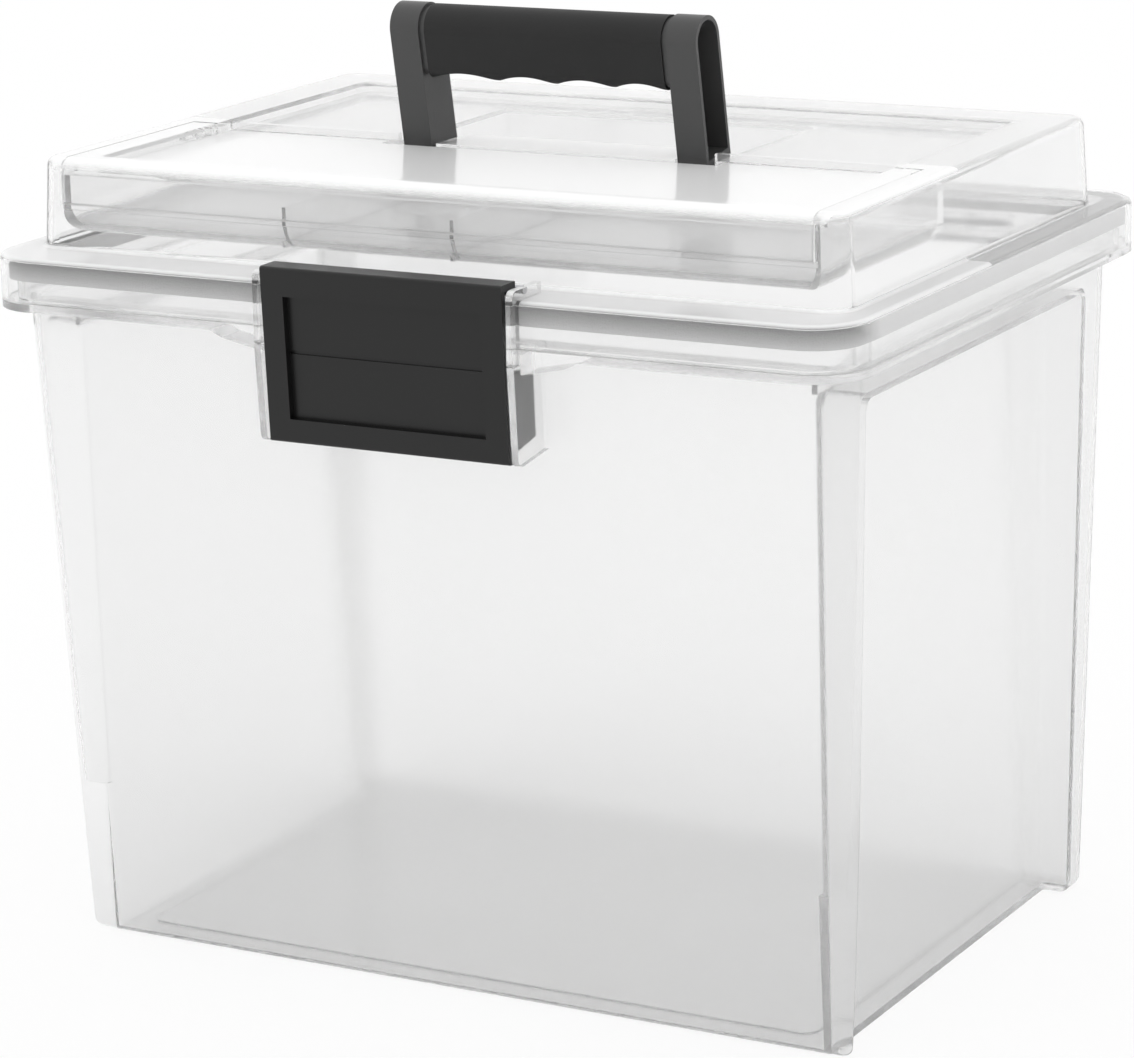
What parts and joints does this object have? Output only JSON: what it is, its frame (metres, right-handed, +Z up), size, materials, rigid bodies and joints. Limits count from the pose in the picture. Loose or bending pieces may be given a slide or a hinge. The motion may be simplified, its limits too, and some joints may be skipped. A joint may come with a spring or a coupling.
{
  "type": "portable file box",
  "caption": "Portable file box: clear tapered tub for hanging folders, gasketed hinged lid with an organizer compartment under a flap, fold-down handle and front latch.",
  "frame": {"origin": "on the floor, in the middle of the tub's base", "axes": "+Z up, the latch towards -Y, the rear hinges towards +Y, X along the long side"},
  "size_m": [0.363, 0.2863, 0.3608],
  "materials": {
    "frosted_clear": "translucent natural polypropylene, satin",
    "clear": "clear, glossy, with a frosted sunk panel",
    "clear_flap": "clear, glossy border, frosted field",
    "foam_seal": "grey foam",
    "handle_grey": "satin dark grey",
    "grip_rubber": "matte black",
    "latch_black": "satin black",
    "steel_pin": "drawn wire"
  },
  "bodies": {
    "tub_body": {"tub": "frosted_clear", "hinge_pins": "steel_pin"},
    "lid_body": {"lid": "clear", "lid_seal": "foam_seal", "handle_pins": "handle_grey", "latch_pin": "steel_pin"},
    "flap_body": {"organizer_flap": "clear_flap"},
    "handle_body": {"handle_frame": "handle_grey", "handle_grip": "grip_rubber"},
    "latch_body": {"latch": "latch_black"}
  },
  "joints": [
    {"name": "lid_hinge", "type": "hinge", "parent": "tub_body", "child": "lid_body", "pos_m": [0, 0.1436, 0.259], "axis": [-1, 0, 0], "range_deg": [0, 100]},
    {"name": "flap_hinge", "type": "hinge", "parent": "lid_body", "child": "flap_body", "pos_m": [0, -0.0227, 0.3076], "axis": [-1, 0, 0], "range_deg": [0, 75]},
    {"name": "handle_fold", "type": "hinge", "parent": "lid_body", "child": "handle_body", "pos_m": [0, -0.0002, 0.3003], "axis": [-1, 0, 0], "range_deg": [0, 99]},
    {"name": "latch_hinge", "type": "hinge", "parent": "lid_body", "child": "latch_body", "pos_m": [0, -0.1272, 0.2795], "axis": [-1, 0, 0], "range_deg": [0, 120]}
  ]
}
